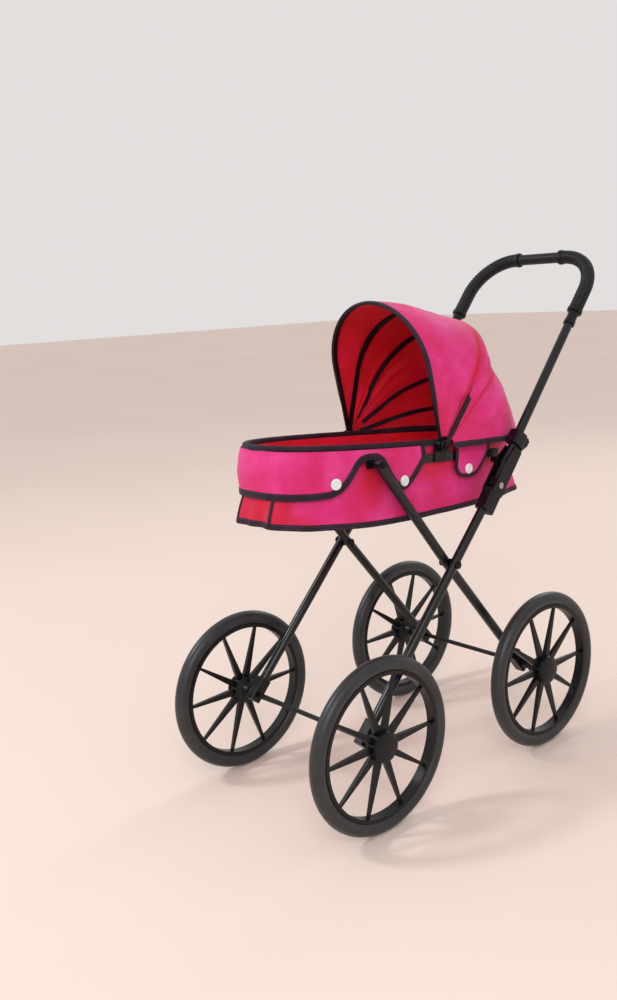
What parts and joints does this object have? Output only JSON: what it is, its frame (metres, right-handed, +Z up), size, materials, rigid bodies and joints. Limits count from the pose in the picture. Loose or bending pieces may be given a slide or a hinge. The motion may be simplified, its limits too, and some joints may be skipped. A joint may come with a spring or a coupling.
{
  "type": "doll stroller",
  "caption": "Folding doll pram: oval fabric bassinet with a folding hood on a scissor frame with spoked wheels and a tall push handle.",
  "frame": {"origin": "centre of the bounding box's underside, on the floor under the four tyres", "axes": "+X to the pram's left across the wheels, +Y towards the push handle, +Z up"},
  "size_m": [0.244, 0.5086, 0.5552],
  "materials": {
    "black_tube": "satin black",
    "black_rod": "satin black",
    "black_plastic": "semi-gloss black",
    "bow_plastic": "black",
    "wheel_plastic": "gloss black",
    "tyre": "dark grey",
    "grip": "ribbed black",
    "bright_steel": "zinc",
    "pink_fabric": "magenta pink woven",
    "red_lining": "red woven",
    "binding": "dark tape",
    "snap_white": "white",
    "base_board": "fibreboard, lined"
  },
  "bodies": {
    "front_frame": {"front_leg_left": "black_tube", "front_leg_right": "black_tube", "front_axle": "black_rod", "front_axle_bracket_left": "black_plastic", "front_axle_bracket_right": "black_plastic", "front_push_nuts": "bright_steel", "scissor_rivets": "bright_steel", "scissor_washers": "bright_steel", "hinge_block_left": "black_plastic", "hinge_block_right": "black_plastic", "handle_rivets": "bright_steel"},
    "rear_frame": {"rear_leg_left": "black_tube", "rear_leg_right": "black_tube", "rear_axle": "black_rod", "rear_axle_bracket_left": "black_plastic", "rear_axle_bracket_right": "black_plastic", "rear_push_nuts": "bright_steel", "rear_axle_spacers": "black_plastic"},
    "bassinet": {"rim_wire": "black_rod", "rim_binding": "binding", "tub": "red_lining", "base_board": "base_board", "skirt": "pink_fabric", "valance": "pink_fabric", "rear_tabs": "pink_fabric", "snap_buttons": "snap_white", "side_rail_left": "black_tube", "side_rail_right": "black_tube", "leg_pivot_pins": "bright_steel", "hood_bracket_left": "black_plastic", "hood_bracket_right": "black_plastic", "hood_pivot_pins": "bright_steel", "hood_panel_rear": "pink_fabric"},
    "hood_third_bow": {"hood_bow_third": "bow_plastic", "hood_panel_middle": "pink_fabric"},
    "hood_second_bow": {"hood_bow_second": "bow_plastic", "hood_panel_front": "pink_fabric"},
    "hood_front_bow": {"hood_bow_front": "bow_plastic"},
    "handle": {"handle_tube": "black_tube", "handle_knuckles": "black_plastic", "corner_grip_left": "grip", "corner_grip_right": "grip", "centre_sleeve": "grip", "handle_ferrules": "black_plastic"},
    "lock_left": {"lock_sleeve_left": "black_plastic"},
    "lock_right": {"lock_sleeve_right": "black_plastic"},
    "wheel_front_left": {"tyre_front_left": "tyre", "wheel_front_left": "wheel_plastic", "hub_cap_front_left": "wheel_plastic"},
    "wheel_front_right": {"tyre_front_right": "tyre", "wheel_front_right": "wheel_plastic", "hub_cap_front_right": "wheel_plastic"},
    "wheel_rear_left": {"tyre_rear_left": "tyre", "wheel_rear_left": "wheel_plastic", "hub_cap_rear_left": "wheel_plastic"},
    "wheel_rear_right": {"tyre_rear_right": "tyre", "wheel_rear_right": "wheel_plastic", "hub_cap_rear_right": "wheel_plastic"}
  },
  "joints": [
    {"name": "frame_fold", "type": "hinge", "parent": "front_frame", "child": "rear_frame", "pos_m": [0, -0.02795, 0.233], "axis": [1, 0, 0], "range_deg": [-28, 0]},
    {"name": "bassinet_level", "type": "hinge", "parent": "rear_frame", "child": "bassinet", "pos_m": [0, -0.11775, 0.3513], "axis": [1, 0, 0], "range_deg": [0, 28]},
    {"name": "hood_fold", "type": "hinge", "parent": "bassinet", "child": "hood_third_bow", "pos_m": [0, -0.02155, 0.3564], "axis": [1, 0, 0], "range_deg": [-41, 0]},
    {"name": "hood_second_fold", "type": "hinge", "parent": "hood_third_bow", "child": "hood_second_bow", "pos_m": [0, -0.02155, 0.3564], "axis": [1, 0, 0], "range_deg": [-16.01, 0]},
    {"name": "hood_front_fold", "type": "hinge", "parent": "hood_second_bow", "child": "hood_front_bow", "pos_m": [0, -0.02155, 0.3564], "axis": [1, 0, 0], "range_deg": [-19.01, 0]},
    {"name": "handle_fold", "type": "hinge", "parent": "front_frame", "child": "handle", "pos_m": [0, 0.04176, 0.306], "axis": [1, 0, 0], "range_deg": [0, 100]},
    {"name": "lock_slide_left", "type": "slide", "parent": "handle", "child": "lock_left", "axis": [0, 0.6468, 0.7627], "range_m": [0, 0.025]},
    {"name": "lock_slide_right", "type": "slide", "parent": "handle", "child": "lock_right", "axis": [0, 0.6468, 0.7627], "range_m": [0, 0.025]},
    {"name": "wheel_front_left_spin", "type": "hinge", "parent": "front_frame", "child": "wheel_front_left", "pos_m": [0.1108, -0.16634, 0.088], "axis": [1, 0, 0], "continuous": true},
    {"name": "wheel_front_right_spin", "type": "hinge", "parent": "front_frame", "child": "wheel_front_right", "pos_m": [-0.1108, -0.16634, 0.088], "axis": [1, 0, 0], "continuous": true},
    {"name": "wheel_rear_left_spin", "type": "hinge", "parent": "rear_frame", "child": "wheel_rear_left", "pos_m": [0.1108, 0.08986, 0.088], "axis": [1, 0, 0], "continuous": true},
    {"name": "wheel_rear_right_spin", "type": "hinge", "parent": "rear_frame", "child": "wheel_rear_right", "pos_m": [-0.1108, 0.08986, 0.088], "axis": [1, 0, 0], "continuous": true}
  ],
  "couplings": [
    {"joint": "bassinet_level", "follows": "frame_fold", "ratio": -1},
    {"joint": "hood_second_fold", "follows": "hood_fold", "ratio": 0.39024},
    {"joint": "hood_front_fold", "follows": "hood_fold", "ratio": 0.46342}
  ]
}
